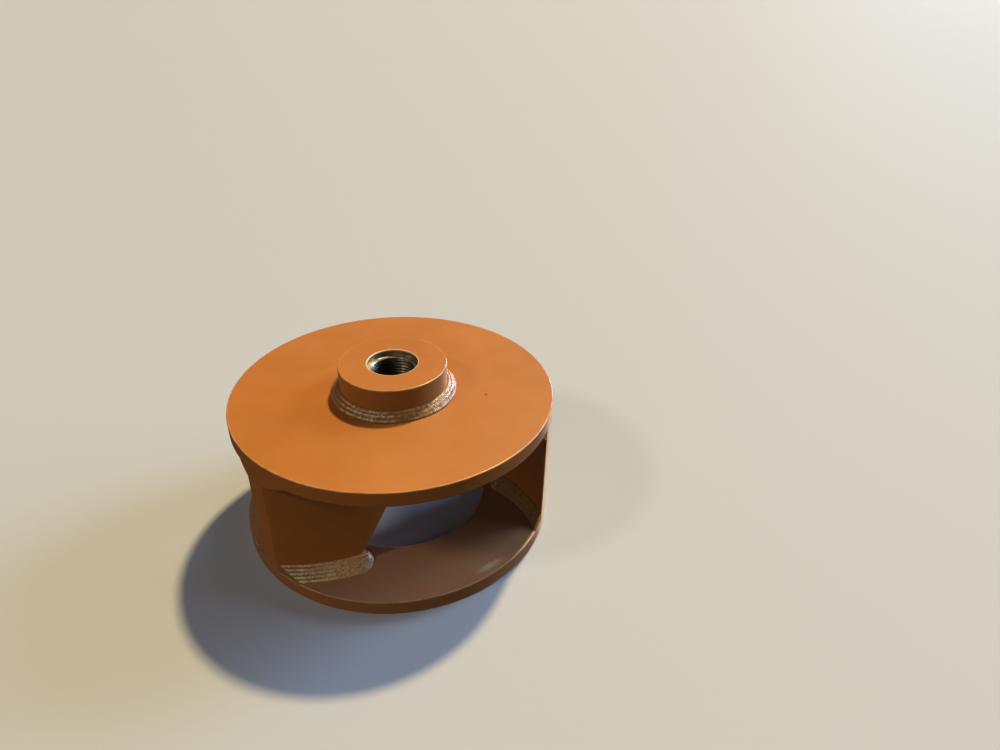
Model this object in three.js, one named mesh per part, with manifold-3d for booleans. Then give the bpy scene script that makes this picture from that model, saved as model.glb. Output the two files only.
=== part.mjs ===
// Fabricated three-vane impeller: a hub plate with a threaded boss, a suction ring with
// a round eye, three curved plate vanes between them, and the fillet welds that join them.
// Millimetres, +Z up. It lies on its suction ring, and the origin is the centre of the
// ring's underside.
import * as THREE from 'three';
import { mergeVertices } from 'three/addons/utils/BufferGeometryUtils.js';
import Module from 'manifold-3d';

const INCH = 25.4;

// The two plates and the passage between them.
const OUTER_RADIUS = 16 * INCH;
const PLATE = 1.5 * INCH;
const PASSAGE = 11.5 * INCH;
const EYE_RADIUS = 9 * INCH;
const EDGE_BREAK = 1.5;

// The boss goes through the hub plate and ends flush with its underside.
const BOSS_RADIUS = 136;
const BOSS_HEIGHT = 3 * INCH;
const COUNTERBORE_RADIUS = 2.5 * INCH;
const COUNTERBORE_DEPTH = 15.5;
const THREAD_RADIUS = 52.5;
const THREAD_LEAD_IN = 4.5;
const BORE_BREAK = 1.5;

// Each vane is a plate bent to one radius. Its outer corner on the rim is at FIRST_VANE,
// and its leading edge is trimmed to a cone about the impeller's axis.
const VANES = 3;
const VANE_PLATE = 1.5 * INCH;
const VANE_BEND_RADIUS = 374;
const OUTLET_ANGLE = THREE.MathUtils.degToRad(34.5);
const FIRST_VANE = THREE.MathUtils.degToRad(231.8);
const LEAD_RADIUS_AT_RING = 292;
const LEAD_RADIUS_AT_HUB = 179;

// Fillet welds: the foot is the leg along the plate, the rise is the leg along what
// stands on it, and the face bulges a little. On a vane's concave face the foot narrows
// towards the rim.
const VANE_WELD = { foot: 40, rise: 24 };
const CONCAVE_FOOT_AT_RIM = { ring: 24, hub: 13 };
const BOSS_WELD = { foot: 23, rise: 21 };
const BULGE = 0.57;

// Curved neighbours stay this far apart; flat faces touch.
const GAP = 0.3;
const SEGMENTS = 96;
const VANE_SEGMENTS = 20;
const WELD_SEGMENTS = 12;
const CORNER_SEGMENTS = 3;
const EDGE_SEGMENTS = 4;
const MERGE = 1e-4;

// Angles in radians: how far a bent shape runs past the rim before it is cut, and how long
// the last step of a weld is before the leading edge.
const PAST_RIM = 0.3;
const LAST_STEP = 0.05;

const RING_TOP = PLATE;
const HUB_UNDERSIDE = PLATE + PASSAGE;
const HUB_TOP = HUB_UNDERSIDE + PLATE;
const BOSS_TOP = HUB_TOP + BOSS_HEIGHT;

const wasm = await Module();
wasm.setup();

const primer = { color: 0x8f4522, roughness: 0.42, metalness: 0.05 };
const FINISH = {
  plate: new THREE.MeshStandardMaterial(primer),
  vane: new THREE.MeshStandardMaterial({ ...primer, color: 0x87401f }),
  boss: new THREE.MeshStandardMaterial({ ...primer, color: 0x8a421f, roughness: 0.38 }),
  weld: new THREE.MeshStandardMaterial({ color: 0x9a6a4a, roughness: 0.5, metalness: 0.15 }),
};

// Geometry helpers.

function signedVolume(position, index) {
  const corners = [new THREE.Vector3(), new THREE.Vector3(), new THREE.Vector3()];
  let volume = 0;
  for (let i = 0; i < index.count; i += 3) {
    corners.forEach((corner, k) => corner.fromBufferAttribute(position, index.getX(i + k)));
    volume += corners[0].dot(corners[1].clone().cross(corners[2])) / 6;
  }
  return volume;
}

// Merges shared vertices and turns the faces outward.
function closed(geometry) {
  geometry.deleteAttribute('normal');
  geometry.deleteAttribute('uv');
  const merged = mergeVertices(geometry, MERGE);
  if (signedVolume(merged.attributes.position, merged.index) < 0) {
    const order = Array.from(merged.index.array);
    for (let i = 0; i < order.length; i += 3) {
      [order[i + 1], order[i + 2]] = [order[i + 2], order[i + 1]];
    }
    merged.setIndex(order);
  }
  return merged;
}

function toSolid(geometry) {
  const whole = closed(geometry);
  return new wasm.Manifold(new wasm.Mesh({
    numProp: 3,
    vertProperties: Float32Array.from(whole.attributes.position.array),
    triVerts: Uint32Array.from(whole.index.array),
  }));
}

function toGeometry(solid) {
  const mesh = solid.getMesh();
  const geometry = new THREE.BufferGeometry();
  geometry.setAttribute('position', new THREE.BufferAttribute(mesh.vertProperties, 3));
  geometry.setIndex(Array.from(mesh.triVerts));
  return geometry;
}

// A ring turned about the Z axis from a closed outline of [radius, height] points.
function turned(outline) {
  const points = [...outline, outline[0]].map(([r, z]) => new THREE.Vector2(r, z));
  return closed(new THREE.LatheGeometry(points, SEGMENTS).rotateX(Math.PI / 2));
}

// A flat ring whose four edges are broken.
function plateRing(inner, outer, low, high) {
  const c = EDGE_BREAK;
  return turned([
    [inner + c, low], [outer - c, low], [outer, low + c], [outer, high - c],
    [outer - c, high], [inner + c, high], [inner, high - c], [inner, low + c],
  ]);
}

// Plan geometry of one vane, in a frame whose +X goes through its outer corner.

const bendDirection = Math.PI + OUTLET_ANGLE;
const bendCentre = new THREE.Vector2(
  OUTER_RADIUS + VANE_BEND_RADIUS * Math.cos(bendDirection),
  VANE_BEND_RADIUS * Math.sin(bendDirection),
);
const CONVEX_RADIUS = VANE_BEND_RADIUS;
const CONCAVE_RADIUS = VANE_BEND_RADIUS - VANE_PLATE;

function leadRadius(z) {
  const share = (z - RING_TOP) / PASSAGE;
  return THREE.MathUtils.lerp(LEAD_RADIUS_AT_RING, LEAD_RADIUS_AT_HUB, share);
}

// Angle about the bend's centre at which a face of the vane crosses a circle about the axis.
function bendAngleAt(faceRadius, axisRadius) {
  const toAxis = bendCentre.length();
  const cosine = (axisRadius ** 2 - faceRadius ** 2 - toAxis ** 2) / (2 * faceRadius * toAxis);
  return bendCentre.angle() - 2 * Math.PI + Math.acos(cosine);
}

function onFace(faceRadius, bendAngle) {
  const offset = new THREE.Vector2(Math.cos(bendAngle), Math.sin(bendAngle));
  return offset.multiplyScalar(faceRadius).add(bendCentre);
}

// What lies between a cone or cylinder about the axis, of the given radius at a height,
// and a larger cylinder. It reaches past both plates.
function turnedBand(innerRadiusAt, outerRadius) {
  const low = 0;
  const high = HUB_TOP;
  return toSolid(turned([
    [innerRadiusAt(low), low], [outerRadius, low], [outerRadius, high], [innerRadiusAt(high), high],
  ]));
}

// One vane, turned to its place: a bent strip of plate, cut to the band.
function vaneGeometry(turn, band) {
  const from = bendAngleAt(CONCAVE_RADIUS, OUTER_RADIUS) - PAST_RIM;
  const to = bendAngleAt(CONVEX_RADIUS, LEAD_RADIUS_AT_HUB) + PAST_RIM;
  const outline = new THREE.Shape();
  outline.absarc(bendCentre.x, bendCentre.y, CONVEX_RADIUS, from, to, false);
  outline.absarc(bendCentre.x, bendCentre.y, CONCAVE_RADIUS, to, from, true);
  outline.closePath();
  const strip = new THREE.ExtrudeGeometry(outline, {
    depth: PASSAGE, bevelEnabled: false, curveSegments: VANE_SEGMENTS,
  });
  strip.translate(0, 0, RING_TOP).rotateZ(turn);
  return toGeometry(toSolid(strip).intersect(band));
}

// Fillet welds round the foot and the head of each vane.

// A closed fillet swept through stations. A station has the root of the corner on the
// plate, the crest on the vane one rise away from the plate, the way out in plan, and the
// foot where it isn't the usual one.
function fillet(stations, plateZ, up, weld) {
  const lift = (share) => plateZ + up * weld.rise * share;
  const sections = stations.map(({ root, crest, out, foot = weld.foot }) => {
    const at = (base, share, z) => {
      const p = base.clone().addScaledVector(out, GAP + foot * share);
      return [p.x, p.y, z];
    };
    const middle = root.clone().lerp(crest, BULGE);
    return [
      at(root, 0, plateZ), at(root, 1, plateZ), at(middle, BULGE, lift(BULGE)), at(crest, 0, lift(1)),
    ];
  });
  const sides = sections[0].length;
  const index = [];
  for (let s = 0; s + 1 < sections.length; s += 1) {
    for (let k = 0; k < sides; k += 1) {
      const a = s * sides + k;
      const b = s * sides + (k + 1) % sides;
      index.push(a, b, b + sides, a, b + sides, a + sides);
    }
  }
  const last = (sections.length - 1) * sides;
  for (let k = 1; k + 1 < sides; k += 1) {
    index.push(0, k + 1, k, last, last + k, last + k + 1);
  }
  const geometry = new THREE.BufferGeometry();
  geometry.setAttribute('position', new THREE.Float32BufferAttribute(sections.flat(2), 3));
  geometry.setIndex(index);
  return closed(geometry);
}

function range(count) {
  return Array.from({ length: count + 1 }, (_, i) => i / count);
}

// Along one face of the vane, from past the rim to just short of the leading edge, which
// slants, so that root and crest end apart. On the convex face the stations stand out a
// little, so that the chords between them clear the vane.
function faceStations(faceRadius, outward, plateZ, crestZ, footAtRim) {
  const atRim = bendAngleAt(faceRadius, OUTER_RADIUS);
  const from = atRim - PAST_RIM;
  const rootEnd = bendAngleAt(faceRadius, leadRadius(plateZ)) - GAP / faceRadius;
  const crestEnd = bendAngleAt(faceRadius, leadRadius(crestZ)) - GAP / faceRadius;
  const together = Math.min(rootEnd, crestEnd) - LAST_STEP;
  const longest = LAST_STEP + Math.abs(crestEnd - rootEnd);
  const radius = outward > 0 ? faceRadius / Math.cos(longest / 2) : faceRadius;
  const station = (rootAngle, crestAngle) => ({
    root: onFace(radius, rootAngle),
    crest: onFace(radius, crestAngle),
    out: new THREE.Vector2(Math.cos(rootAngle), Math.sin(rootAngle)).multiplyScalar(outward),
    foot: THREE.MathUtils.mapLinear(Math.max(rootAngle, atRim), atRim, rootEnd, footAtRim, VANE_WELD.foot),
  });
  const even = range(WELD_SEGMENTS).map((t) => THREE.MathUtils.lerp(from, together, t));
  return [...even.map((angle) => station(angle, angle)), station(rootEnd, crestEnd)];
}

// Round the leading edge: a corner, along the edge's arc about the axis, and the other corner.
function noseStations(plateZ, crestZ) {
  const corner = (faceRadius, z) => onFace(faceRadius, bendAngleAt(faceRadius, leadRadius(z)));
  const root = [corner(CONVEX_RADIUS, plateZ), corner(CONCAVE_RADIUS, plateZ)];
  const crest = [corner(CONVEX_RADIUS, crestZ), corner(CONCAVE_RADIUS, crestZ)];
  const offConvex = root[0].clone().sub(bendCentre).normalize();
  const offConcave = bendCentre.clone().sub(root[1]).normalize();
  const inward = root.map((p) => p.clone().negate().normalize());
  const between = ([a, b], t) => {
    const radius = THREE.MathUtils.lerp(a.length(), b.length(), t);
    const angle = THREE.MathUtils.lerp(a.angle(), b.angle(), t);
    return new THREE.Vector2(radius * Math.cos(angle), radius * Math.sin(angle));
  };
  const swing = (k, from, to) => range(CORNER_SEGMENTS).map((t) => ({
    root: root[k],
    crest: crest[k],
    out: from.clone().rotateAround(new THREE.Vector2(), (to.angle() - from.angle()) * t),
  }));
  const along = range(EDGE_SEGMENTS).slice(1, -1).map((t) => {
    const edge = between(root, t);
    return { root: edge, crest: between(crest, t), out: edge.clone().negate().normalize() };
  });
  return [
    ...swing(0, offConvex, inward[0]),
    ...along,
    ...swing(1, inward[1], offConcave),
  ];
}

// A piece of weld, cut where the rim was turned flush.
function vaneWeld(stations, plateZ, up, turn, band) {
  const swept = fillet(stations, plateZ, up, VANE_WELD).rotateZ(turn);
  return toGeometry(toSolid(swept).intersect(band));
}

function weldRing(inner, plateZ, weld) {
  const root = inner + GAP;
  return turned([
    [root, plateZ], [root + weld.foot, plateZ],
    [root + weld.foot * BULGE, plateZ + weld.rise * BULGE], [root, plateZ + weld.rise],
  ]);
}

// The impeller.

const impeller = new THREE.Group();

function add(name, geometry, finish) {
  geometry.computeVertexNormals();
  const mesh = new THREE.Mesh(geometry, finish);
  mesh.name = name;
  impeller.add(mesh);
}

function bossOutline() {
  const ledge = BOSS_TOP - COUNTERBORE_DEPTH;
  const c = BORE_BREAK;
  return [
    [THREAD_RADIUS + c, HUB_UNDERSIDE], [BOSS_RADIUS, HUB_UNDERSIDE],
    [BOSS_RADIUS, BOSS_TOP - c], [BOSS_RADIUS - c, BOSS_TOP],
    [COUNTERBORE_RADIUS + c, BOSS_TOP], [COUNTERBORE_RADIUS, BOSS_TOP - c],
    [COUNTERBORE_RADIUS, ledge], [THREAD_RADIUS + THREAD_LEAD_IN, ledge],
    [THREAD_RADIUS, ledge - THREAD_LEAD_IN], [THREAD_RADIUS, HUB_UNDERSIDE + c],
  ];
}

add('hub_plate', plateRing(BOSS_RADIUS + GAP, OUTER_RADIUS, HUB_UNDERSIDE, HUB_TOP), FINISH.plate);
add('hub_boss', turned(bossOutline()), FINISH.boss);
add('boss_fillet_weld', weldRing(BOSS_RADIUS, HUB_TOP, BOSS_WELD), FINISH.weld);
add('suction_ring', plateRing(EYE_RADIUS, OUTER_RADIUS, 0, RING_TOP), FINISH.plate);

// The welds end at the rim, and the vanes there and at the cone too.
const withinRim = turnedBand(() => THREAD_RADIUS, OUTER_RADIUS);
const withinRimAndCone = turnedBand(leadRadius, OUTER_RADIUS);
const PLATES = [
  { name: 'ring', z: RING_TOP, up: 1 },
  { name: 'hub', z: HUB_UNDERSIDE, up: -1 },
];

for (let v = 0; v < VANES; v += 1) {
  const turn = FIRST_VANE + v * 2 * Math.PI / VANES;
  const number = v + 1;
  add(`vane_${number}`, vaneGeometry(turn, withinRimAndCone), FINISH.vane);
  for (const { name, z, up } of PLATES) {
    const crestZ = z + up * VANE_WELD.rise;
    const pieces = {
      convex: faceStations(CONVEX_RADIUS, 1, z, crestZ, VANE_WELD.foot),
      concave: faceStations(CONCAVE_RADIUS, -1, z, crestZ, CONCAVE_FOOT_AT_RIM[name]),
      nose: noseStations(z, crestZ),
    };
    for (const [side, stations] of Object.entries(pieces)) {
      const geometry = vaneWeld(stations, z, up, turn, withinRim);
      add(`weld_${name}_${side}_${number}`, geometry, FINISH.weld);
    }
  }
}

export default impeller;
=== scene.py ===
import math

import bmesh
import bpy
import numpy as np
from mathutils import Matrix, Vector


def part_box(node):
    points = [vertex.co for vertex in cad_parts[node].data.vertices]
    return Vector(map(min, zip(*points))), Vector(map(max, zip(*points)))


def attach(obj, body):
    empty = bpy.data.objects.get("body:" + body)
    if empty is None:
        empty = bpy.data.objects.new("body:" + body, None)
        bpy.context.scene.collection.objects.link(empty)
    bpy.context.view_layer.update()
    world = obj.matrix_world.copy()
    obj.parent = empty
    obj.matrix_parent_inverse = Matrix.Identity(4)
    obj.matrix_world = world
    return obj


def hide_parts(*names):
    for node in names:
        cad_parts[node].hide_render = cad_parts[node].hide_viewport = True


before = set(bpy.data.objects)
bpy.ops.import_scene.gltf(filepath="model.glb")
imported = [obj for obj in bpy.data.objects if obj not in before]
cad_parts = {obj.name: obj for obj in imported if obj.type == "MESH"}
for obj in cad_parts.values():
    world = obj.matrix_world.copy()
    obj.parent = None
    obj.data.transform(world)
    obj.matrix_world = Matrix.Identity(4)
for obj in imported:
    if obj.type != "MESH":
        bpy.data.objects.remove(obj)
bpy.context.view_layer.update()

INCH = 0.0254

# What the frame gives: the rim, the plates' levels, the boss and the size of the welds.
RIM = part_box("suction_ring")[1].x
RING_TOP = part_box("suction_ring")[1].z
HUB_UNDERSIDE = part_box("hub_plate")[0].z
HUB_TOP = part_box("hub_plate")[1].z
BOSS_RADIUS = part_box("hub_boss")[1].x
BOSS_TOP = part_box("hub_boss")[1].z
BOSS_WELD_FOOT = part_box("boss_fillet_weld")[1].x - BOSS_RADIUS
BOSS_WELD_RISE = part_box("boss_fillet_weld")[1].z - HUB_TOP
VANE_WELD_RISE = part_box("weld_ring_nose_1")[1].z - RING_TOP

# Plates and boss.
EYE_RADIUS = 9 * INCH
EDGE_ROUND = 0.0027
BOSS_ROUND = 0.0030
BORE_ROUND = 0.0008
MOUTH_CHAMFER = 0.0018
SLEEVE_DROP = 0.0020
SLEEVE_WALL = 0.0040
COUNTERBORE_RADIUS = 2.5 * INCH
COUNTERBORE_DEPTH = 0.0155
THREAD_CREST = 0.0525
THREAD_DEPTH = 0.0037
THREAD_PITCH = INCH / 3
THREAD_LEAD_IN = 0.0045
LEAD_IN_RADIUS = THREAD_CREST + THREAD_LEAD_IN
LEAD_IN_DEPTH = 0.0026

# Vanes: plan geometry in a frame whose +X goes through the vane's outer corner.
VANES = 3
VANE_PLATE = 1.5 * INCH
BEND_RADIUS = 0.374
OUTLET_ANGLE = math.radians(34.5)
FIRST_VANE = math.radians(231.8)
LEAD_RADIUS_AT_RING = 0.292
LEAD_RADIUS_AT_HUB = 0.179
RIM_CORNER_ROUND = 0.0010
TIP_ROUND = 0.0030
LEAD_CORNER_ROUND = 0.0012
CORNER_CLEAR = 0.006
TIP_CLEAR = 0.0125
FACE_POINTS = 40
VANE_LEVELS = 14
GROUND_FROM = 0.006

# Welds.
VANE_WELD_FOOT = 0.040
CONCAVE_FOOT_AT_RIM = {"ring": 0.024, "hub": 0.013}
VANE_WELD_PASSES = 5
BOSS_WELD_PASSES = 3
BOSS_WELD_STATIONS = 900
VANE_WELD_STEP = 0.0011
POINTS_A_PASS = {"boss": 9, "vane": 7}
PASS_HEIGHT = 0.0021
WELD_BULGE = 0.0016
TOE_SHARE = 0.03
RIPPLE_HEIGHT = 0.0005
RIPPLE_PITCH = {"boss": 0.0052, "vane": 0.0034}
CLOSING = 0.02

# Lumps: how many on a stretch, how far they reach and how high they stand.
LUMPS = {"boss": (220, 0.0038, 0.0011), "vane": (60, 0.0036, 0.0017), "nose": (110, 0.0031, 1.0)}
LUMPS_FROM_RIM = 0.04
LUMPS_FROM_NOSE = 0.05
NOSE_OVERLAP = 0.006
KNOB_HEIGHT = 0.0030

# Where passes have run together: how smooth they are there, and their level and tone. On the boss
# weld that tone is its dark valley colour, painted shade where the boss shadows it.
CALMING = 0.85
CALM_HEIGHT = 0.0017
CALM_CREST = 0.55
CALM_FROM_RIM = 0.04
CALM_FADE = 0.09

# How far they have round the boss: angles in degrees, and a share at each. These are where the weld
# lies in the boss's shadow, and there it is painted dark as shade.
BOSS_WELD_CALM_AND_SHADE = ((120, 140, 205, 230, 272, 284, 308, 320), (0, 1, 1, 0, 0, 0.8, 0.8, 0))

# What is left of the concave side's crest colour: partly the primer over it, partly painted shade
# under the hub plate.
CONCAVE_CREST_AND_SHADE = 0.20

# How deep pieces stand in their neighbours, and how near points are one.
SINK = 0.0003
MERGE = 1e-6

PLATE_SEGMENTS = 256
BOSS_SEGMENTS = 192


# Camera, floor and light.

CAMERA_PLACE = (0.2698, -1.4786, 1.3150)
CAMERA_PITCH = math.radians(31.33)
CAMERA_ROLL = math.radians(1.59)
FOCAL_LENGTH = 24.68
SENSOR_WIDTH = 36.0

FLOOR_REACH = 60.0
FLOOR_COLOUR = (0.365, 0.352, 0.385, 1)
WORLD_COLOUR = (0.90, 0.94, 1.0, 1)
WORLD_STRENGTH = 0.03

# Name, azimuth, elevation, strength, width and colour of each light.
SUNS = [
    ("lamp", 64.5, 56.5, 4.42, 4, (1.0, 0.84, 0.42)),
    ("window", 33, 24, 3.3, 26, (0.48, 0.72, 1.0)),
    ("side_window", 8, 13, 1.0, 20, (0.55, 0.72, 1.0)),
    ("doorway", 60, 4, 1.6, 16, (0.66, 0.72, 1.0)),
    ("front", 210, 43, 0.78, 8, (1.0, 0.94, 0.80)),
    ("low_front", 250, 15, 0.46, 50, (0.84, 0.92, 1.0)),
]


def add_camera():
    data = bpy.data.cameras.new("camera")
    data.sensor_width = SENSOR_WIDTH
    data.lens = FOCAL_LENGTH
    camera = bpy.data.objects.new("camera", data)
    bpy.context.scene.collection.objects.link(camera)
    pitch = Matrix.Rotation(math.pi / 2 - CAMERA_PITCH, 4, "X")
    roll = Matrix.Rotation(CAMERA_ROLL, 4, "Z")
    camera.matrix_world = Matrix.Translation(CAMERA_PLACE) @ (pitch @ roll)
    bpy.context.scene.camera = camera


def add_sun(name, azimuth, elevation, strength, width, colour):
    """A distant soft source. Its angles are in degrees, the azimuth from +X towards +Y."""
    data = bpy.data.lights.new(name, "SUN")
    data.energy = strength
    data.angle = math.radians(width)
    data.color = colour
    light = bpy.data.objects.new(name, data)
    bpy.context.scene.collection.objects.link(light)
    light.rotation_euler = (0, math.radians(90 - elevation), math.radians(azimuth))


def add_stage():
    mesh = bpy.data.meshes.new("floor")
    signs = [(-1, -1), (1, -1), (1, 1), (-1, 1)]
    corners = [(x * FLOOR_REACH, y * FLOOR_REACH, 0) for x, y in signs]
    mesh.from_pydata(corners, [], [(0, 1, 2, 3)])
    floor = bpy.data.objects.new("floor", mesh)
    bpy.context.scene.collection.objects.link(floor)
    material, _, shader = new_material("pale_floor")
    shader.inputs["Base Color"].default_value = FLOOR_COLOUR
    shader.inputs["Roughness"].default_value = 0.85
    mesh.materials.append(material)
    # The floor takes the shadow, and throws no light back on the part.
    floor.visible_diffuse = False
    floor.visible_glossy = False

    world = bpy.data.worlds.new("studio")
    bpy.context.scene.world = world
    world.use_nodes = True
    background = world.node_tree.nodes["Background"]
    background.inputs["Color"].default_value = WORLD_COLOUR
    background.inputs["Strength"].default_value = WORLD_STRENGTH

    for sun in SUNS:
        add_sun(*sun)
    bpy.context.scene.view_settings.view_transform = "Standard"


# Node helpers.

def new_material(name):
    material = bpy.data.materials.new(name)
    material.use_nodes = True
    return material, material.node_tree, material.node_tree.nodes["Principled BSDF"]


def node(tree, kind, inputs, **settings):
    made = tree.nodes.new(kind)
    for key, value in settings.items():
        setattr(made, key, value)
    for socket, value in inputs.items():
        if isinstance(value, bpy.types.NodeSocket):
            tree.links.new(value, made.inputs[socket])
        else:
            made.inputs[socket].default_value = value
    return made


def place(tree):
    return tree.nodes.new("ShaderNodeTexCoord").outputs["Object"]


def noise(tree, scale, detail=3.0, rough=0.55, over=None):
    over = place(tree) if over is None else over
    inputs = {"Vector": over, "Scale": scale, "Detail": detail, "Roughness": rough}
    return node(tree, "ShaderNodeTexNoise", inputs).outputs["Fac"]


def spread(tree, value, low, high, out_low=0.0, out_high=1.0):
    inputs = {
        "Value": value, "From Min": low, "From Max": high, "To Min": out_low, "To Max": out_high,
    }
    return node(tree, "ShaderNodeMapRange", inputs).outputs["Result"]


def blend(tree, share, first, second):
    inputs = {"Factor": share, 6: first, 7: second}
    return node(tree, "ShaderNodeMix", inputs, data_type="RGBA").outputs[2]


def arithmetic(tree, operation, first, second):
    inputs = {0: first, 1: second}
    return node(tree, "ShaderNodeMath", inputs, operation=operation).outputs[0]


def vector_math(tree, operation, *operands, output="Vector"):
    made = node(tree, "ShaderNodeVectorMath", dict(enumerate(operands)), operation=operation)
    return made.outputs[output]


def wave(tree, scale, distortion, **settings):
    inputs = {"Vector": place(tree), "Scale": scale, "Distortion": distortion}
    return node(tree, "ShaderNodeTexWave", inputs, **settings).outputs["Fac"]


def bump(tree, height, strength, distance, below=None):
    inputs = {"Height": height, "Strength": strength, "Distance": distance}
    if below is not None:
        inputs["Normal"] = below
    return node(tree, "ShaderNodeBump", inputs).outputs["Normal"]


def attribute(tree, name):
    return node(tree, "ShaderNodeAttribute", {}, attribute_name=name).outputs["Fac"]


# Materials.

PRIMER_DARK = (0.332, 0.096, 0.011, 1)
PRIMER_MID = (0.362, 0.107, 0.014, 1)
PRIMER_LIGHT = (0.385, 0.118, 0.019, 1)
# Upper edges are painted in this paler colour, partly as rubbed primer and partly as a painted
# highlight.
PRIMER_EDGE_WEAR_AND_HIGHLIGHT = (0.56, 0.30, 0.14, 1)
# The bore's mouth, where paint is scraped off; its pale ring is partly a painted highlight.
SCRAPED_AND_HIGHLIGHT = (0.72, 0.48, 0.30, 1)
SCRAPED_FADE = 0.0004
DUST = (0.19, 0.125, 0.085, 1)
PRIMER_SPECULAR = 0.33
PRIMER_ROUGHNESS = (0.42, 0.52)
PRIMER_SHEEN = {"Weight": 0.48, "Roughness": 0.25, "Tint": (0.86, 0.84, 1.0, 1)}
EDGE_ROUGHNESS_FACTOR = 0.55

# A chip in the hub plate's primer and a scuff in the suction ring's, in plan.
CHIP = {"centre": (0.2358, -0.0210), "reach": 0.0050}
CHIP_COLOUR = (0.10, 0.035, 0.015, 1)
SCUFF = {
    "centre": (0.2575, -0.2830), "reach": 0.040, "angle": math.radians(40),
    "stretch": (1.0, 4.0, 0), "ragged": 0.7,
}
SCUFF_COLOUR = (0.42, 0.29, 0.23, 1)

# Weld colours, the first three as (valley, crest). Pale crests and dark valleys stand partly for a
# thinner coat on the crests, partly for a painted highlight on the crests and painted shade between
# the passes.
PALE_WELD = ((0.17, 0.092, 0.034, 1), (1.0, 0.71, 0.35, 1))
BROWN_WELD = ((0.32, 0.150, 0.052, 1), (0.66, 0.375, 0.170, 1))
PAINTED_WELD = ((0.25, 0.095, 0.020, 1), (0.84, 0.47, 0.150, 1))
# The lumps on a weld's nose take a lilac-grey tint, a painted sheen of the window's light.
WELD_KNOB_SHEEN = (0.17, 0.115, 0.105, 1)
WELD_SPOT = (0.15, 0.075, 0.030, 1)
DUSTY_END = (0.270, 0.094, 0.028, 1)
FLUSH_FADE = (0.0026, 0.0018)
WELD_ROUGHNESS = (0.26, 0.42)
KNOB_ROUGHNESS_FACTOR = 1.9

# Steel of the bore, where a film lies on it and where it doesn't. The clean steel's gold tint is
# partly a painted reflection of the warm lamp.
OILED_STEEL = ((0.095, 0.080, 0.060, 1), (0.044, 0.040, 0.029, 1))
CLEAN_STEEL_AND_GLINT = ((0.42, 0.300, 0.185, 1), (0.21, 0.155, 0.098, 1))
STEEL_ROUGHNESS = (0.38, 0.55)
OIL_FADE = 0.0020


def primer_coat(tree):
    """Primer's colour: broad clouds from uneven coats, then fine mottling."""
    clouds = spread(tree, noise(tree, 4.0, 4.0), 0.35, 0.68)
    mottle = spread(tree, noise(tree, 90.0, 5.0, 0.7), 0.30, 0.75)
    coat = blend(tree, clouds, PRIMER_DARK, PRIMER_LIGHT)
    return blend(tree, arithmetic(tree, "MULTIPLY", mottle, 0.5), coat, PRIMER_MID)


def near(tree, centre, reach, angle=0.0, stretch=(1, 1, 0), ragged=0.4):
    """One at a place in plan, and none further off than reach, with a ragged edge. A mark
    with a stretch is that much narrower across its angle."""
    away = vector_math(tree, "SUBTRACT", place(tree), (*centre, 0))
    inputs = {"Vector": away, "Angle": -angle}
    turned = node(tree, "ShaderNodeVectorRotate", inputs, rotation_type="Z_AXIS").outputs["Vector"]
    flat = vector_math(tree, "MULTIPLY", turned, stretch)
    distance = vector_math(tree, "LENGTH", flat, output="Value")
    grain = noise(tree, 110.0, 5.0, 0.65, over=flat)
    swing = spread(tree, grain, 0.3, 0.7, -ragged * reach, ragged * reach)
    return spread(tree, arithmetic(tree, "ADD", distance, swing), reach, 0.5 * reach)


def axis_radius(tree):
    flat = vector_math(tree, "MULTIPLY", place(tree), (1, 1, 0))
    return vector_math(tree, "LENGTH", flat, output="Value")


def vertical(tree, vector):
    return node(tree, "ShaderNodeSeparateXYZ", {"Vector": vector}).outputs["Z"]


def facing_up(tree, low=0.3, high=0.8):
    normal = tree.nodes.new("ShaderNodeNewGeometry").outputs["Normal"]
    return spread(tree, vertical(tree, normal), low, high)


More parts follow.
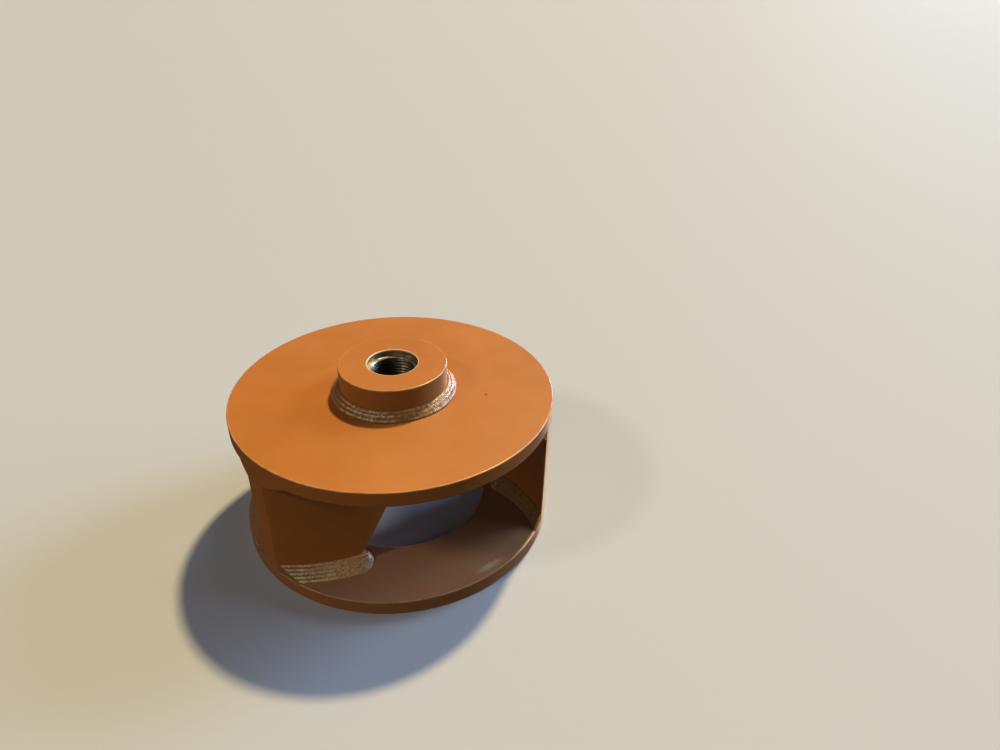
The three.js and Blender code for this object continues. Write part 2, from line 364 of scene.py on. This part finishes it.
def primer_material(name, turned=False, wear_and_highlight=0.6, dusty=0.0, mark=None, lip=0.0):
    """Satin primer. Turned faces show the tool's rings through it, upper edges are painted paler,
    partly as rubbed wear and partly as a painted highlight, dust greys it, mostly on top, mark is
    (what near takes, colour, strength), and paint is scraped off within the radius lip, a pale ring
    that is partly a painted highlight."""
    material, tree, shader = new_material(name)
    colour = primer_coat(tree)
    if dusty:
        patches = spread(tree, noise(tree, 9.0, 5.0, 0.65), 0.25, 0.75, 0.6 * dusty, 1.1 * dusty)
        settled = spread(tree, facing_up(tree), 0, 1, 0.45, 1)
        colour = blend(tree, arithmetic(tree, "MULTIPLY", patches, settled), colour, DUST)
    if mark:
        spot, tint, strength = mark
        marked = arithmetic(tree, "MULTIPLY", near(tree, **spot), strength)
        colour = blend(tree, marked, colour, tint)
    # Upper edges are painted paler: partly rubbed primer, partly a painted highlight along them.
    edge = attribute(tree, "edge")
    patchy = spread(tree, noise(tree, 40.0, 4.0), 0.35, 0.62, 0.25, 1.0)
    above = arithmetic(tree, "MULTIPLY", edge, facing_up(tree, 0.0, 0.35))
    rubbed_and_highlight = arithmetic(tree, "MULTIPLY", arithmetic(tree, "MULTIPLY", above, patchy), wear_and_highlight)
    colour = blend(tree, rubbed_and_highlight, colour, PRIMER_EDGE_WEAR_AND_HIGHLIGHT)
    # The bore's mouth is painted pale: scraped paint, and partly a painted highlight all round it.
    if lip:
        bare = spread(tree, axis_radius(tree), lip + SCRAPED_FADE, lip)
        colour = blend(tree, bare, colour, SCRAPED_AND_HIGHLIGHT)
    tree.links.new(colour, shader.inputs["Base Color"])
    satin = spread(tree, noise(tree, 14.0, 5.0), 0.3, 0.7, *PRIMER_ROUGHNESS)
    polish = spread(tree, edge, 0, 1, 1, EDGE_ROUGHNESS_FACTOR)
    tree.links.new(arithmetic(tree, "MULTIPLY", satin, polish), shader.inputs["Roughness"])
    shader.inputs["Specular IOR Level"].default_value = PRIMER_SPECULAR
    for key, value in PRIMER_SHEEN.items():
        shader.inputs[f"Sheen {key}"].default_value = value
    relief = bump(tree, noise(tree, 1300.0, 2.0), 0.35, 0.00012)
    if turned:
        rings = wave(tree, 330.0, 0.6, wave_type="RINGS", rings_direction="Z")
        relief = bump(tree, rings, 0.20, 0.00006, relief)
    tree.links.new(relief, shader.inputs["Normal"])
    return material


def weld_material(name, bold, calm, low, spotted, shine, end):
    """Weld metal under primer, paler on the crests of the passes, from the level low up, partly
    from a thinner coat and partly as a painted highlight, with painted shade in the valleys. bold
    and calm are (valley, crest) colours where the passes stand out and where they don't. The ends
    are turned flush with the rim, and have the colour end."""
    material, tree, shader = new_material(name)
    height = spread(tree, attribute(tree, "crest"), low, 0.90)
    patches = spread(tree, noise(tree, 38.0, 4.0), 0.3, 0.7, 0.3, 1.0)
    height = arithmetic(tree, "MULTIPLY", height, patches)
    bold_colour, calm_colour = [blend(tree, height, *tints) for tints in (bold, calm)]
    colour = blend(tree, attribute(tree, "calm"), bold_colour, calm_colour)
    spots = spread(tree, noise(tree, 200.0, 4.0, 0.65), 0.50, 0.62, 0, spotted)
    colour = blend(tree, spots, colour, WELD_SPOT)
    # The nose's lumps are tinted lilac-grey, a painted sheen.
    knob = attribute(tree, "knob")
    clean = arithmetic(tree, "MULTIPLY", patches, spread(tree, spots, 0, spotted, 1, 0.2))
    colour = blend(tree, arithmetic(tree, "MULTIPLY", knob, clean), colour, WELD_KNOB_SHEEN)
    flush = spread(tree, axis_radius(tree), RIM - FLUSH_FADE[0], RIM - FLUSH_FADE[1])
    tree.links.new(blend(tree, flush, colour, end), shader.inputs["Base Color"])
    gloss = spread(tree, noise(tree, 120.0, 3.0), 0.3, 0.7, *WELD_ROUGHNESS)
    dulled = spread(tree, knob, 0, 1, 1, KNOB_ROUGHNESS_FACTOR)
    tree.links.new(arithmetic(tree, "MULTIPLY", gloss, dulled), shader.inputs["Roughness"])
    shader.inputs["Specular IOR Level"].default_value = shine
    relief = bump(tree, noise(tree, 900.0, 3.0), 0.4, 0.0002)
    pits = noise(tree, 260.0, 4.0)
    pitted = bump(tree, pits, arithmetic(tree, "MULTIPLY", knob, 0.9), 0.0020, relief)
    tree.links.new(pitted, shader.inputs["Normal"])
    return material


def bore_material():
    """Turned steel, darkened by oil in the thread and bright on the wall and the lead-in, where its
    gold tint is partly a painted reflection of the warm lamp.
    """
    material, tree, shader = new_material("bare_bore")
    height = vertical(tree, place(tree))
    thread_top = BOSS_TOP - COUNTERBORE_DEPTH - LEAD_IN_DEPTH
    bright = spread(tree, height, thread_top - OIL_FADE, thread_top)
    film = spread(tree, noise(tree, 70.0, 4.0), 0.35, 0.7)
    oiled = blend(tree, film, *OILED_STEEL)
    # The wall and lead-in take a gold tint, partly a painted reflection of the lamp.
    clean = blend(tree, film, *CLEAN_STEEL_AND_GLINT)
    tree.links.new(blend(tree, bright, oiled, clean), shader.inputs["Base Color"])
    shader.inputs["Metallic"].default_value = 0.9
    tree.links.new(spread(tree, film, 0.0, 1.0, *STEEL_ROUGHNESS), shader.inputs["Roughness"])
    rings = wave(tree, 500.0, 0.8, bands_direction="Z")
    tree.links.new(bump(tree, rings, 0.15, 0.00004), shader.inputs["Normal"])
    return material


# Mesh helpers.

def add_piece(name, points, faces, material, nodes, sharp=35, levels=None):
    """A closed mesh in the frame, with doubled points merged and its faces turned outward.
    levels holds point attributes by name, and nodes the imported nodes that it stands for."""
    mesh = bpy.data.meshes.new(name)
    mesh.from_pydata(points.tolist(), [], faces)
    mesh.materials.append(material)
    for key, values in (levels or {}).items():
        level = mesh.attributes.new(key, "FLOAT", "POINT")
        level.data.foreach_set("value", values.astype(np.float32))
    form = bmesh.new()
    form.from_mesh(mesh)
    bmesh.ops.remove_doubles(form, verts=form.verts, dist=MERGE)
    bmesh.ops.recalc_face_normals(form, faces=form.faces)
    form.to_mesh(mesh)
    form.free()
    mesh.polygons.foreach_set("use_smooth", [True] * len(mesh.polygons))
    mesh.update()
    mesh.set_sharp_from_angle(angle=math.radians(sharp))
    piece = bpy.data.objects.new(name, mesh)
    bpy.context.scene.collection.objects.link(piece)
    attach(piece, "root")
    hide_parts(*nodes)
    return piece


def grid_quads(rows, columns, wrap_rows=False, wrap_columns=False):
    """Quads of a grid of points that is stored row by row."""
    r, c = np.meshgrid(np.arange(rows - (not wrap_rows)), np.arange(columns - (not wrap_columns)),
                       indexing="ij")
    r2 = (r + 1) % rows
    c2 = (c + 1) % columns
    quads = [r * columns + c, r * columns + c2, r2 * columns + c2, r2 * columns + c]
    return np.stack(quads, -1).reshape(-1, 4)


def arc_between(first, second, steps):
    """Unit-speed steps on the arc between two vectors of one length."""
    length = np.linalg.norm(first)
    whole = math.acos(np.clip(first @ second / length ** 2, -1, 1))
    t = np.linspace(0, 1, steps + 1)[:, None]
    return (np.sin((1 - t) * whole) * first + np.sin(t * whole) * second) / math.sin(whole)


def round_corner(before, corner, after, radius, steps=5):
    """The corner of an outline, turned on an arc that touches both sides."""
    back = before - corner
    back /= np.linalg.norm(back)
    on = after - corner
    on /= np.linalg.norm(on)
    half = math.acos(back @ on) / 2
    reach = radius / math.tan(half)
    middle = corner + (back + on) / np.linalg.norm(back + on) * radius / math.sin(half)
    start, end = corner + back * reach, corner + on * reach
    return middle + arc_between(start - middle, end - middle, steps)


def rounded(corners, support=0.0015):
    """Outline points and their edge mask, for wear and a painted highlight, from corners given as
    (radius, height, rounding).
    """
    places = [np.array(corner[:2]) for corner in corners]
    outline, wear_and_highlight = [], []
    for k, (here, corner) in enumerate(zip(places, corners)):
        if not corner[2]:
            outline.append(here)
            wear_and_highlight.append(0.0)
            continue
        before, after = places[k - 1], places[(k + 1) % len(places)]
        arc = round_corner(before, here, after, corner[2])
        lead = support * (before - arc[0]) / np.linalg.norm(before - arc[0])
        trail = support * (after - arc[-1]) / np.linalg.norm(after - arc[-1])
        outline += [arc[0] + lead, *arc, arc[-1] + trail]
        wear_and_highlight += [0.0] + [1.0] * len(arc) + [0.0]
    return np.array(outline), np.array(wear_and_highlight)


def turn(outline, segments):
    """Points of an outline of [radius, height] turned about Z, a row for each angle."""
    angle = np.arange(segments) * 2 * math.pi / segments
    points = np.empty((segments, len(outline), 3))
    points[:, :, 0] = np.cos(angle)[:, None] * outline[:, 0]
    points[:, :, 1] = np.sin(angle)[:, None] * outline[:, 0]
    points[:, :, 2] = outline[:, 1]
    return points


def turned_ring(name, corners, segments, material, nodes):
    outline, wear_and_highlight = rounded(corners)
    points = turn(outline, segments)
    quads = grid_quads(segments, len(outline), wrap_rows=True, wrap_columns=True)
    return add_piece(name, points.reshape(-1, 3), quads.tolist(), material, nodes,
                     levels={"edge": np.tile(wear_and_highlight, segments)})


# Plates.

def add_plates(hub, ring):
    e = EDGE_ROUND
    plate = turned_ring("hub_plate_turned", [
        (BOSS_RADIUS, HUB_UNDERSIDE, 0), (RIM, HUB_UNDERSIDE, e),
        (RIM, HUB_TOP, e), (BOSS_RADIUS, HUB_TOP, 0),
    ], PLATE_SEGMENTS, hub, ["hub_plate"])
    # In the photograph this plate throws hardly any red light on the boss.
    plate.visible_diffuse = False
    turned_ring("suction_ring_turned", [
        (EYE_RADIUS, 0, e), (RIM, 0, e), (RIM, RING_TOP, e), (EYE_RADIUS, RING_TOP, e),
    ], PLATE_SEGMENTS, ring, ["suction_ring"])


# Boss, with its counterbore and thread.

# One turn of the thread's section, as shares of its pitch and depth.
THREAD_FORM = [
    (0.00, 0.05), (0.03, 0.0), (0.21, 0.0), (0.25, 0.05),
    (0.52, 0.95), (0.56, 1.0), (0.68, 1.0), (0.73, 0.95),
]


def thread_points(top, bottom):
    """The threaded wall, a row for each angle: the form runs down a helix, and is cut by a
    chamfer and a flat ring at both ends."""
    turns = math.ceil((top - bottom) / THREAD_PITCH) + 1
    share = np.array([t + along for t in range(-1, turns) for along, _ in THREAD_FORM])
    depth = np.array([deep for _ in range(-1, turns) for _, deep in THREAD_FORM])
    angle = np.arange(BOSS_SEGMENTS) * 2 * math.pi / BOSS_SEGMENTS
    z = top - THREAD_PITCH * (share[None, :] + angle[:, None] / (2 * math.pi))
    radius = THREAD_CREST + THREAD_DEPTH * depth[None, :]
    mouth = THREAD_CREST + THREAD_LEAD_IN * (1 - np.minimum(top - z, z - bottom) / LEAD_IN_DEPTH)
    outside = (z > top) | (z < bottom)
    radius = np.where(outside, LEAD_IN_RADIUS, np.maximum(radius, mouth))
    z = np.clip(z, bottom, top)
    return np.stack([np.cos(angle)[:, None] * radius, np.sin(angle)[:, None] * radius, z], -1)


def add_boss(outside, bare):
    e = BOSS_ROUND
    seat = BOSS_TOP - MOUTH_CHAMFER - SLEEVE_DROP
    sleeve = COUNTERBORE_RADIUS + SLEEVE_WALL
    turned_ring("hub_boss_turned", [
        (sleeve, HUB_UNDERSIDE, 0), (BOSS_RADIUS, HUB_UNDERSIDE, 0), (BOSS_RADIUS, BOSS_TOP, e),
        (COUNTERBORE_RADIUS, BOSS_TOP, MOUTH_CHAMFER), (COUNTERBORE_RADIUS, seat, 0),
        (sleeve, seat, 0),
    ], BOSS_SEGMENTS, outside, ["hub_boss"])

    ledge = BOSS_TOP - COUNTERBORE_DEPTH
    back = sleeve + SINK
    wall, _ = rounded([
        (LEAD_IN_RADIUS, HUB_UNDERSIDE, 0), (back, HUB_UNDERSIDE, 0), (back, seat + SINK, 0),
        (COUNTERBORE_RADIUS, seat + SINK, 0), (COUNTERBORE_RADIUS, ledge, BORE_ROUND),
        (LEAD_IN_RADIUS, ledge, 0),
    ])
    points = turn(wall, BOSS_SEGMENTS)
    quads = grid_quads(BOSS_SEGMENTS, len(wall), wrap_rows=True)
    thread = thread_points(ledge, HUB_UNDERSIDE)
    rows, columns = thread.shape[:2]
    # The last angle meets the first one turn further down.
    form = len(THREAD_FORM)
    k = np.arange(columns - 1 - form)
    last = (rows - 1) * columns + k
    seam = np.stack([last, last + 1, k + form + 1, k + form], -1)
    along = np.concatenate([grid_quads(rows, columns), seam]) + points.size // 3
    everything = np.concatenate([points.reshape(-1, 3), thread.reshape(-1, 3)])
    faces = np.concatenate([quads, along]).tolist()
    add_piece("hub_bore_threaded", everything, faces, bare, ["hub_boss"])


# Vanes.

BEND_CENTRE = np.array([
    RIM - BEND_RADIUS * math.cos(OUTLET_ANGLE), -BEND_RADIUS * math.sin(OUTLET_ANGLE),
])
CONVEX = BEND_RADIUS
CONCAVE = BEND_RADIUS - VANE_PLATE


def lead_radius(z):
    share = (z - RING_TOP) / (HUB_UNDERSIDE - RING_TOP)
    return LEAD_RADIUS_AT_RING + (LEAD_RADIUS_AT_HUB - LEAD_RADIUS_AT_RING) * share


def bend_angle(face, reach):
    """Angle about the bend's centre where its circle of radius face crosses the circle of
    radius reach about the axis."""
    to_axis = np.hypot(*BEND_CENTRE)
    cosine = (reach ** 2 - face ** 2 - to_axis ** 2) / (2 * face * to_axis)
    return math.atan2(BEND_CENTRE[1], BEND_CENTRE[0]) + np.arccos(cosine)


def on_bend(face, angle):
    return BEND_CENTRE + np.stack([np.cos(angle) * face, np.sin(angle) * face], -1)


def about_axis(first, second, count):
    """Points on the arc about the axis from one point to another, without both ends."""
    ends = [math.atan2(point[1], point[0]) for point in (first, second)]
    angles = np.linspace(*ends, count + 2)[1:-1]
    radii = np.linspace(np.hypot(*first), np.hypot(*second), count + 2)[1:-1]
    return np.stack([np.cos(angles) * radii, np.sin(angles) * radii], -1)


def vane_outline(z):
    """Plan outline of the vane at a height, and its edge mask for wear and a painted highlight. The
    sharp tip on the rim is ground blunt between the welds."""
    lead = lead_radius(z)
    in_weld = min(z - RING_TOP, HUB_UNDERSIDE - z) < VANE_WELD_RISE + MERGE
    tip_round = RIM_CORNER_ROUND if in_weld else TIP_ROUND
    rim_out, rim_in = bend_angle(CONVEX, RIM), bend_angle(CONCAVE, RIM)
    lead_out, lead_in = bend_angle(CONVEX, lead), bend_angle(CONCAVE, lead)
    clear_out, clear_in = CORNER_CLEAR / CONVEX, CORNER_CLEAR / CONCAVE
    clear_tip = TIP_CLEAR / CONCAVE
    convex = on_bend(CONVEX, np.linspace(rim_out + clear_out, lead_out - clear_out, FACE_POINTS))
    concave = on_bend(CONCAVE, np.linspace(lead_in - clear_in, rim_in + clear_tip, FACE_POINTS))
    outer_corner, lead_corner = on_bend(CONVEX, rim_out), on_bend(CONVEX, lead_out)
    inner_lead, inner_outer = on_bend(CONCAVE, lead_in), on_bend(CONCAVE, rim_in)
    nose = about_axis(lead_corner, inner_lead, 6)
    end = about_axis(inner_outer, outer_corner, 4)
    parts = [
        convex, round_corner(convex[-1], lead_corner, nose[0], LEAD_CORNER_ROUND), nose,
        round_corner(nose[-1], inner_lead, concave[0], LEAD_CORNER_ROUND), concave,
        round_corner(concave[-1], inner_outer, end[0], tip_round), end,
        round_corner(end[-1], outer_corner, convex[0], RIM_CORNER_ROUND),
    ]
    wear_and_highlight = [np.full(len(part), float(k % 2 == 1)) for k, part in enumerate(parts)]
    return np.concatenate(parts), np.concatenate(wear_and_highlight)


def rotated(points, angle):
    c, s = math.cos(angle), math.sin(angle)
    out = points.copy()
    out[..., 0] = c * points[..., 0] - s * points[..., 1]
    out[..., 1] = s * points[..., 0] + c * points[..., 1]
    return out


def add_vane(number, angle, material):
    low, high = RING_TOP + VANE_WELD_RISE, HUB_UNDERSIDE - VANE_WELD_RISE
    between = np.linspace(low + GROUND_FROM, high - GROUND_FROM, VANE_LEVELS)
    levels = np.concatenate([[RING_TOP, low], between, [high, HUB_UNDERSIDE]])
    rows = []
    for z in levels:
        outline, wear_and_highlight = vane_outline(z)
        rows.append(np.column_stack([outline, np.full(len(outline), z)]))
    points = rotated(np.array(rows), angle)
    count = len(outline)
    faces = grid_quads(len(levels), count, wrap_columns=True).tolist()
    faces.append(list(range(count)))
    faces.append([(len(levels) - 1) * count + k for k in reversed(range(count))])
    add_piece(f"vane_{number}_bent", points.reshape(-1, 3), faces, material,
              [f"vane_{number}"], levels={"edge": np.tile(wear_and_highlight, len(levels))})


# Welds: passes laid side by side across the fillet, rippled along their length.

def wander(rng, distance, length, size):
    """A smooth random line over a distance: about one swing for each length."""
    knots = np.arange(distance.min() - length, distance.max() + 2 * length, length)
    values = rng.uniform(-size, size, len(knots))
    place_on = np.clip((distance - knots[0]) / length, 0, len(knots) - 1.001)
    k = place_on.astype(int)
    t = place_on - k
    t = t * t * (3 - 2 * t)
    return values[k] * (1 - t) + values[k + 1] * t


def lumps(rng, distance, across, width, stretch, count, reach, height):
    """Round lumps at random places on a stretch (first, last) of a weld."""
    field = np.zeros((len(distance), len(across)))
    for _ in range(count):
        at, over = rng.uniform(*stretch), rng.uniform(0.08, 0.92)
        size, tall = reach * rng.uniform(0.6, 1.3), height * rng.uniform(0.4, 1.0)
        away = (distance[:, None] - at) ** 2 + ((across[None, :] - over) * width) ** 2
        field = np.maximum(field, tall * np.exp(-away / size ** 2))
    return field


def weld_relief(rng, distance, across, passes, ripple_pitch, calm):
    """How far the weld's face stands off the flat between its toes, and how near a crest it is: an
    array with a row for each station, and a column for each place across. Where calm is one, the
    passes have run together and their crests take one level, which on the boss weld paints them
    dark as shade."""
    half = 0.5 / passes
    stand = np.zeros((len(distance), len(across)))
    crest = np.zeros_like(stand)
    for k in range(passes):
        middle = (k + 0.5) / passes + wander(rng, distance, 0.030, 0.16 * half)
        wide = half * (1.12 + wander(rng, distance, 0.02, 0.08))
        off = (across[None, :] - middle[:, None]) / wide[:, None]
        crown = np.sqrt(np.clip(1 - off ** 2, 0, 1))
        uneven = distance + wander(rng, distance, 3 * ripple_pitch, 0.4 * ripple_pitch)
        phase = 2 * math.pi * uneven / ripple_pitch + rng.uniform(0, 2 * math.pi)
        ripple = 0.5 + 0.5 * np.cos(phase[:, None] + 2.2 * off ** 2)
        tall = PASS_HEIGHT + wander(rng, distance, 0.012, 0.0005)
        tall = tall + wander(rng, distance, 0.0045, 0.00035)
        stand = np.maximum(stand, crown * (tall[:, None] + RIPPLE_HEIGHT * ripple))
        # The crests' paleness comes and goes in dashes, partly painted highlights along the passes.
        dash = np.clip(0.5 + wander(rng, distance, 0.008, 1.0), 0, 1)[:, None]
        crest = np.maximum(crest, crown ** 4 * (0.60 + 0.32 * dash + 0.08 * ripple))
    apart = 1 - CALMING * calm[:, None]
    stand = CALM_HEIGHT + (stand - CALM_HEIGHT) * apart
    crest = CALM_CREST + (crest - CALM_CREST) * apart
    return stand + WELD_BULGE * 4 * across * (1 - across), crest


def relieved(name, flat, root, normal, across, passes, seed, material, nodes, nose=None, calm=None):
    """Raises the flat of a weld by its relief, closes it over its root, and adds the piece. nose is
    (first, last) station of the weld's turn round a leading edge. A weld without one is closed in a
    ring, and calm says for each of its stations how far it is smooth and painted dark as shade."""
    rng = np.random.default_rng(seed)
    middle = flat[:, len(across) // 2]
    steps = np.linalg.norm(np.diff(middle, axis=0), axis=1)
    distance = np.concatenate([[0], np.cumsum(steps)])
    width = np.linalg.norm(flat[0, -1] - flat[0, 0])
    closed = nose is None
    knob = np.zeros((len(distance), len(across)))
    if closed:
        kind, stretches = "boss", [(0, distance[-1])]
    else:
        kind = "vane"
        first, last = distance[nose[0]], distance[nose[1]]
        stretches = [
            (LUMPS_FROM_RIM, first - LUMPS_FROM_NOSE),
            (last + LUMPS_FROM_NOSE, distance[-1] - LUMPS_FROM_RIM),
        ]
        from_rim = np.minimum(distance, distance[-1] - distance)
        calm = np.clip((from_rim - CALM_FROM_RIM) / CALM_FADE, 0, 1)
        calm[nose[1]:] = 1
        turn_round = (first - NOSE_OVERLAP, last + NOSE_OVERLAP)
        knob = lumps(rng, distance, across, width, turn_round, *LUMPS["nose"])
    stand, crest = weld_relief(rng, distance, across, passes, RIPPLE_PITCH[kind], calm)
    # The concave side's crests are dimmed, partly as painted shade under the hub plate.
    if not closed:
        crest[nose[1]:] *= CONCAVE_CREST_AND_SHADE
    for stretch in stretches:
        stand += lumps(rng, distance, across, width, stretch, *LUMPS[kind])
    stand += KNOB_HEIGHT * knob
    stand *= np.clip(np.minimum(across, 1 - across) / TOE_SHARE, 0, 1)
    if closed:
        share = np.clip((distance - distance[-1] + CLOSING) / CLOSING, 0, 1)[:, None]
        stand = stand * (1 - share) + stand[0] * share
        crest = crest * (1 - share) + crest[0] * share
    face = flat + normal * stand[..., None]
    radius = np.hypot(face[..., 0], face[..., 1])
    face[..., :2] *= np.minimum(1, RIM / radius)[..., None]
    points = np.concatenate([face, root[:, None, :]], axis=1)
    rows, columns = points.shape[:2]
    levels = {"crest": crest, "knob": knob, "calm": np.broadcast_to(calm[:, None], crest.shape)}
    for key, values in levels.items():
        levels[key] = np.column_stack([values, np.zeros(rows)]).reshape(-1)
    faces = grid_quads(rows, columns, wrap_rows=closed, wrap_columns=True).tolist()
    if not closed:
        faces.append(list(range(columns)))
        faces.append([(rows - 1) * columns + k for k in reversed(range(columns))])
    add_piece(name, points.reshape(-1, 3), faces, material, nodes, sharp=60,
              levels=levels)


def add_boss_weld(material):
    angle = np.arange(BOSS_WELD_STATIONS) * 2 * math.pi / BOSS_WELD_STATIONS
    out = np.stack([np.cos(angle), np.sin(angle), np.zeros(BOSS_WELD_STATIONS)], -1)
    across = np.linspace(0, 1, BOSS_WELD_PASSES * POINTS_A_PASS["boss"] + 1)
    toe = out * (BOSS_RADIUS + BOSS_WELD_FOOT) + [0, 0, HUB_TOP - SINK]
    crest_line = out * (BOSS_RADIUS - SINK) + [0, 0, HUB_TOP + BOSS_WELD_RISE]
    flat = toe[:, None] * (1 - across)[:, None] + crest_line[:, None] * across[:, None]
    root = out * (BOSS_RADIUS - SINK) + [0, 0, HUB_TOP - SINK]
    slope = math.hypot(BOSS_WELD_FOOT, BOSS_WELD_RISE)
    normal = out * BOSS_WELD_RISE / slope + [0, 0, BOSS_WELD_FOOT / slope]
    # Where the boss shadows its weld, the weld is smoothed and painted dark as shade.
    relieved("boss_weld_passes", flat, root, normal[:, None], across, BOSS_WELD_PASSES, 7, material,
             ["boss_fillet_weld"], calm=np.interp(np.degrees(angle), *BOSS_WELD_CALM_AND_SHADE))


def vane_weld_sheet(plate_z, up, foot_at_rim, across):
    """The flat between the toes of a vane's weld, its root and its normal, from the rim along
    the convex face, round the leading edge and back to the rim along the concave face, where
    its foot narrows, and the first and last station of that turn."""
    crest_z = plate_z + up * VANE_WELD_RISE
    z = plate_z - up * SINK + (crest_z - plate_z + up * SINK) * across
    slope = math.hypot(VANE_WELD_FOOT, VANE_WELD_RISE)
    sheets, roots, normals = [], [], []

    def along_face(face, side, rim_foot, backward):
        start = bend_angle(face + side * (rim_foot * (1 - across) - SINK), RIM)
        ends = [bend_angle(face, lead_radius(plate_z)), bend_angle(face, lead_radius(crest_z))]
        end = ends[0] + (ends[1] - ends[0]) * across
        count = int(face * (end[0] - start[-1]) / VANE_WELD_STEP)
        share = np.linspace(0, 1, count)[:, None]
        if backward:
            share = 1 - share
        angle = start[None, :] * (1 - share) + end[None, :] * share
        foot = rim_foot + (VANE_WELD_FOOT - rim_foot) * share
        plan = on_bend(face + side * (foot * (1 - across) - SINK), angle)
        sheets.append(np.dstack([plan, np.broadcast_to(z, plan.shape[:2])]))
        root_angle = start[-1] * (1 - share[:, 0]) + ends[0] * share[:, 0]
        root = on_bend(face - side * SINK, root_angle)
        roots.append(np.column_stack([root, np.full(count, plate_z - up * SINK)]))
        out = np.dstack([np.cos(angle) * side, np.sin(angle) * side])
        rise = np.broadcast_to(up * foot, angle.shape)
        slant = np.hypot(VANE_WELD_RISE, foot)[..., None]
        normals.append(np.dstack([out * VANE_WELD_RISE, rise]) / slant)

    def around(root_plan, crest_plan, out):
        plan = (root_plan[:, None] + out[:, None] * VANE_WELD_FOOT) * (1 - across)[:, None]
        plan = plan + crest_plan[:, None] * across[:, None]
        sheets.append(np.dstack([plan, np.broadcast_to(z, plan.shape[:2])]))
        roots.append(np.column_stack([root_plan, np.full(len(root_plan), plate_z - up * SINK)]))
        wide = np.broadcast_to(out[:, None], plan.shape)
        rise = np.full(plan.shape[:2], up * VANE_WELD_FOOT)
        normals.append(np.dstack([wide * VANE_WELD_RISE, rise]) / slope)

    def corner(face, level):
        return on_bend(face, bend_angle(face, lead_radius(level)))

    along_face(CONVEX, 1, VANE_WELD_FOOT, backward=False)
    root_out, root_in = corner(CONVEX, plate_z), corner(CONCAVE, plate_z)
    crest_out, crest_in = corner(CONVEX, crest_z), corner(CONCAVE, crest_z)
    off_convex = (root_out - BEND_CENTRE) / CONVEX
    off_concave = (BEND_CENTRE - root_in) / CONCAVE
    inward = [-root_out / np.hypot(*root_out), -root_in / np.hypot(*root_in)]
    swing = arc_between(off_convex, inward[0], swing_steps(off_convex, inward[0]))[1:-1]
    around(np.tile(root_out, (len(swing), 1)), np.tile(crest_out, (len(swing), 1)), swing)
    count = int(np.linalg.norm(root_in - root_out) / VANE_WELD_STEP)
    nose_root = about_axis(root_out, root_in, count)
    nose_crest = about_axis(crest_out, crest_in, count)
    around(nose_root, nose_crest, -nose_root / np.linalg.norm(nose_root, axis=1)[:, None])
    swing = arc_between(inward[1], off_concave, swing_steps(inward[1], off_concave))[1:-1]
    around(np.tile(root_in, (len(swing), 1)), np.tile(crest_in, (len(swing), 1)), swing)
    along_face(CONCAVE, -1, foot_at_rim, backward=True)
    nose = (len(sheets[0]), sum(len(sheet) for sheet in sheets[:-1]))
    return np.concatenate(sheets), np.concatenate(roots), np.concatenate(normals), nose


def swing_steps(first, second):
    """Steps round a corner, so that the weld's middle advances by one step at a time."""
    whole = math.acos(np.clip(first @ second, -1, 1))
    return max(8, int(whole * VANE_WELD_FOOT * 0.7 / VANE_WELD_STEP))


def add_vane_weld(number, angle, plate, material):
    plate_z, up = {"ring": (RING_TOP, 1), "hub": (HUB_UNDERSIDE, -1)}[plate]
    across = np.linspace(0, 1, VANE_WELD_PASSES * POINTS_A_PASS["vane"] + 1)
    *sheet, nose = vane_weld_sheet(plate_z, up, CONCAVE_FOOT_AT_RIM[plate], across)
    nodes = [f"weld_{plate}_{side}_{number}" for side in ("convex", "nose", "concave")]
    flat, root, normal = [rotated(part, angle) for part in sheet]
    relieved(f"weld_{plate}_{number}_passes", flat, root, normal, across, VANE_WELD_PASSES,
             10 * number + up, material, nodes, nose)


add_camera()
add_stage()

hub_primer = primer_material("primed_plate", turned=True, mark=(CHIP, CHIP_COLOUR, 1.0))
ring_primer = primer_material("primed_ring", turned=True, wear_and_highlight=0.4, dusty=0.55,
                              mark=(SCUFF, SCUFF_COLOUR, 0.6))
boss_primer = primer_material("primed_boss", turned=True, wear_and_highlight=0.5,
                              lip=COUNTERBORE_RADIUS + MOUTH_CHAMFER)
vane_primer = primer_material("primed_vane", wear_and_highlight=0.1)
ring_weld_primer = weld_material("primed_weld", PALE_WELD, BROWN_WELD,
                                 low=0.10, spotted=0.75, shine=0.20, end=DUSTY_END)
fresh_weld_primer = weld_material("primed_weld_clean", PAINTED_WELD, PAINTED_WELD,
                                  low=0.55, spotted=0.3, shine=0.5, end=PRIMER_MID)
bore_steel = bore_material()

add_plates(hub_primer, ring_primer)
add_boss(boss_primer, bore_steel)
add_boss_weld(fresh_weld_primer)
for vane in range(VANES):
    vane_angle = FIRST_VANE + vane * 2 * math.pi / VANES
    add_vane(vane + 1, vane_angle, vane_primer)
    add_vane_weld(vane + 1, vane_angle, "ring", ring_weld_primer)
    add_vane_weld(vane + 1, vane_angle, "hub", fresh_weld_primer)
